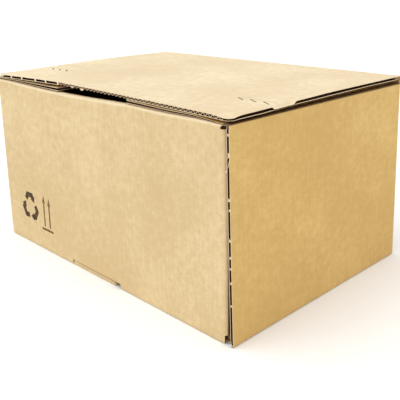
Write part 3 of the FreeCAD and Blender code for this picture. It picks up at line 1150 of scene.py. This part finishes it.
# Flute crests at the crushed front edge.
# Left of the gap the knife flattened the flutes into long slots. A crest of the fluting still
# stands between the liners at each end of a slot.
FLUTE_POSTS = (-192.0, -168.0, -142.0, -110.0, -87.0, -61.0)
POST_WIDTH = 4.0
POST_WAIST = 0.4
POST_LEAN = 1.2
POST_SETBACK = 0.25
POST_RIPPLE = 0.1
POST_WAVES = 5
POST_SHEET = 0.5


def post_ripple(u, v):
    return POST_RIPPLE * np.sin(POST_WAVES * u)


posts = []
for middle in FLUTE_POSTS:
    def post_place(across, down, lift, middle=middle):
        waist = 1 - POST_WAIST * np.sin(math.pi * down)
        x = middle + (across - 0.5) * POST_WIDTH * waist + POST_LEAN * (down - 0.5)
        y = FRONT + POST_SETBACK + lift
        return settle(x, y, TOP - LINER + (2 * LINER - BOARD) * down)

    posts.append(strip(5, 5, post_ripple, POST_SHEET, post_place))
flute_crests = paper("flute_crests", posts, [torn_paper], "lid")
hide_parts("lid")

# The tear cuts.
# A row of three arrow-shaped knife cuts goes through the lid near each end.
TEAR_LINE = FRONT + 67.5
TEAR_CUT_COUNT = 3
TEAR_CUT_SPACING = 16.0
LONG_CUT = (13.0, -6.5, 1.7)
SHORT_CUT = (12.0, 6.0, 0.9)
SHORT_CUT_GAP = 1.6
TEAR_ROWS = ((LEFT + 20.5, 1), (RIGHT - 22.0, -1))
CUT_DEPTH = 2 * BOARD
CUT_RISE = 2.0


def cutters():
    """Thin prisms where the knife went through."""
    points = []
    faces = []
    for first, direction in TEAR_ROWS:
        for index in range(TEAR_CUT_COUNT):
            start_x = first + direction * index * TEAR_CUT_SPACING
            for reach, rise, width in (LONG_CUT, SHORT_CUT):
                along = np.array([reach, rise]) / math.hypot(reach, rise)
                gap = SHORT_CUT_GAP if rise > 0 else 0.0
                begin = np.array([start_x, TEAR_LINE]) + along * gap
                end = np.array([start_x + reach, TEAR_LINE + rise])
                aside = np.array([-along[1], along[0]]) * width / 2
                count = len(points)
                for z in (TOP - CUT_DEPTH, TOP + CUT_RISE):
                    for corner in (begin - aside, end - aside, end + aside, begin + aside):
                        points.append((corner[0] * MM, corner[1] * MM, z * MM))
                faces += [
                    tuple(count + k for k in quad)
                    for quad in (
                        (3, 2, 1, 0), (4, 5, 6, 7), (0, 1, 5, 4),
                        (1, 2, 6, 5), (2, 3, 7, 6), (3, 0, 4, 7),
                    )
                ]
    mesh = bpy.data.meshes.new("knife")
    mesh.from_pydata(points, [], faces)
    return bpy.data.objects.new("knife", mesh)


knife = cutters()
bpy.context.collection.objects.link(knife)
for piece in (lid_outer, lid_fluting, lid_inner):
    cut = piece.modifiers.new("cut", "BOOLEAN")
    cut.operation = "DIFFERENCE"
    cut.solver = "EXACT"
    cut.object = knife
    bpy.context.view_layer.update()
    seen = bpy.context.evaluated_depsgraph_get()
    carved = bpy.data.meshes.new_from_object(piece.evaluated_get(seen))
    piece.modifiers.clear()
    old = piece.data
    piece.data = carved
    bpy.data.meshes.remove(old)
    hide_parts("lid")
bpy.data.objects.remove(knife)

# The lid's fold.
# One crease across the back joins the lid to the back wall, all three paper layers thick.
CREASE_INSET = 0.6
CREASE_ROW = 3.0
CREASE_TURNS = 8


def crease_layer(outer, inner, column, kind):
    """One paper layer of the fold, whose lid side has the lid's paler tone, partly painted light."""
    u = places(CREASE_INSET, RIGHT - LEFT - CREASE_INSET, column)
    v = rows(back_section, BACK_TOP, lid_start, CREASE_ROW, CREASE_TURNS)

    def place(along, high, depth):
        return fold(along, high, depth, back_section, lid_line)

    points, flat, faces, kinds = patch(u, v, outer, inner, place)
    kinds = np.where(kinds == 0, kind, kinds)
    on_lid = (kinds == 0) & (flat[faces[:, 0], 1] > back_section.arcs[1][0] + LID_FOLD_RADIUS / 2)
    return points, flat, faces, np.where(on_lid, 3, kinds)


lid_crease = paper(
    "lid_crease",
    [
        crease_layer(outer_face, outer_back, LINER_COLUMN, 0),
        crease_layer(medium_face, medium_back, MEDIUM_COLUMN, 1),
        crease_layer(inner_face, inner_back, INSIDE_COLUMN, 1),
    ],
    [kraft_back, kraft_inside, kraft_cut, kraft_lid],
    None,
)
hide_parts("lid")
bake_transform(lid_crease)

# The floor, the light and the view.
# A plain pale floor in a white studio: one broad soft lamp from the upper left of the front
# and a weak warm one from the right.
FLOOR_HALF = 60.0
floor_mesh = bpy.data.meshes.new("floor")
floor_mesh.from_pydata(
    [(-FLOOR_HALF, -FLOOR_HALF, 0), (FLOOR_HALF, -FLOOR_HALF, 0),
     (FLOOR_HALF, FLOOR_HALF, 0), (-FLOOR_HALF, FLOOR_HALF, 0)],
    [], [(0, 1, 2, 3)],
)
floor = bpy.data.objects.new("floor", floor_mesh)
bpy.context.collection.objects.link(floor)
paint = bpy.data.materials.new("floor_paint")
paint.use_nodes = True
paint_shader = paint.node_tree.nodes["Principled BSDF"]
paint_shader.inputs["Base Color"].default_value = (0.93, 0.93, 0.93, 1)
paint_shader.inputs["Roughness"].default_value = 1.0
paint_shader.inputs["Specular IOR Level"].default_value = 0.0
floor_mesh.materials.append(paint)

studio = bpy.data.worlds.new("studio")
studio.use_nodes = True
backdrop = studio.node_tree.nodes["Background"]
backdrop.inputs["Color"].default_value = (1.0, 1.0, 1.0, 1)
backdrop.inputs["Strength"].default_value = 0.85
bpy.context.scene.world = studio

LAMPS = (
    ("key_lamp", (-0.28, -0.42, 0.86), 1.5, 70, (1.0, 0.985, 0.96)),
    ("side_lamp", (0.85, -0.25, 0.35), 0.35, 60, (1.0, 0.93, 0.8)),
)
for name, direction, strength, spread, colour in LAMPS:
    lamp = bpy.data.lights.new(name, "SUN")
    lamp.energy = strength
    lamp.angle = math.radians(spread)
    lamp.color = colour
    stand = bpy.data.objects.new(name, lamp)
    stand.rotation_mode = "QUATERNION"
    stand.rotation_quaternion = Vector(direction).to_track_quat("Z", "Y")
    bpy.context.collection.objects.link(stand)
bpy.context.scene.view_settings.view_transform = "Standard"

CAMERA_PLACE = (566.0, -507.1, 325.8)
CAMERA_AZIMUTH = math.radians(44.266)
CAMERA_ELEVATION = math.radians(13.322)
CAMERA_ROLL = math.radians(-0.863)
eye = bpy.data.cameras.new("camera")
eye.lens = 57.39
eye.shift_x = -0.08
eye.shift_y = -0.175
eye.clip_start = 0.05
eye.clip_end = 200.0
camera = bpy.data.objects.new("camera", eye)
towards = Vector((
    -math.sin(CAMERA_AZIMUTH) * math.cos(CAMERA_ELEVATION),
    math.cos(CAMERA_AZIMUTH) * math.cos(CAMERA_ELEVATION),
    -math.sin(CAMERA_ELEVATION),
))
turned = towards.to_track_quat("-Z", "Y").to_matrix() @ Matrix.Rotation(CAMERA_ROLL, 3, "Z")
camera.matrix_world = Matrix.Translation(Vector(CAMERA_PLACE) * MM) @ turned.to_4x4()
bpy.context.collection.objects.link(camera)
bpy.context.scene.camera = camera
